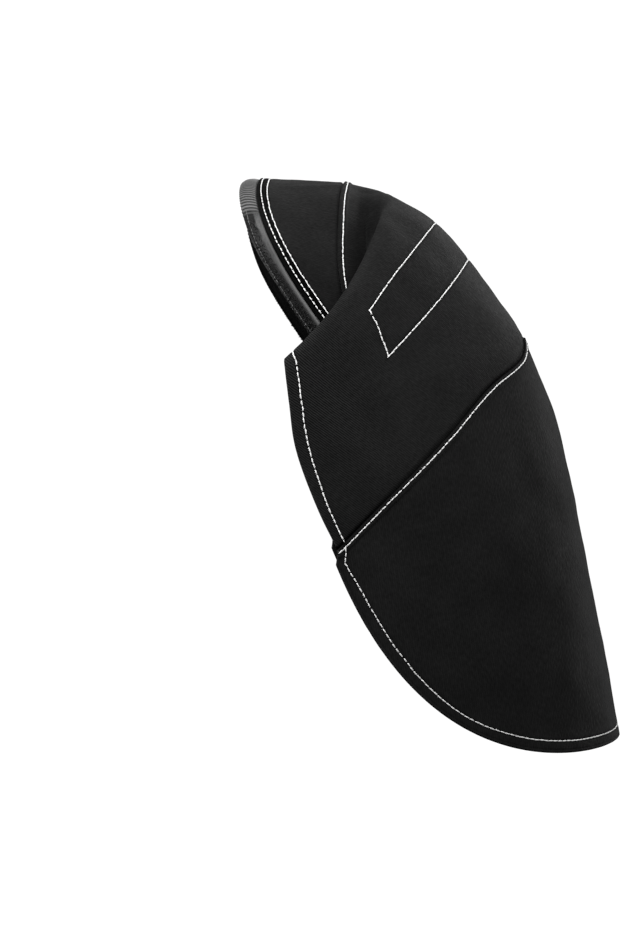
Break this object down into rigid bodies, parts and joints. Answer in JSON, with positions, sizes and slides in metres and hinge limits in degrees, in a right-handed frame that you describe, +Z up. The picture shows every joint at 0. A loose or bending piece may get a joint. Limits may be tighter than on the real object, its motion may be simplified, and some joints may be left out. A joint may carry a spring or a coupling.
{
  "type": "welding head cover",
  "caption": "Soft canvas hood that hangs from the rear rim of a welding helmet by a hook tape and covers the crown, the back of the head and the neck.",
  "frame": {"origin": "top of the helmet's rear rim on the centre line, where the hook tape grips it", "axes": "+Z up, the wearer faces -Y, +X towards the wearer's left"},
  "size_m": [0.2472, 0.2274, 0.3379],
  "materials": {
    "canvas": "matte twill with white topstitching",
    "tape": "ribbed woven nylon with hooks"
  },
  "bodies": {
    "root": {"hook_tape": "tape", "crown_panel": "canvas", "back_panel": "canvas", "neck_cape": "canvas"}
  },
  "joints": []
}
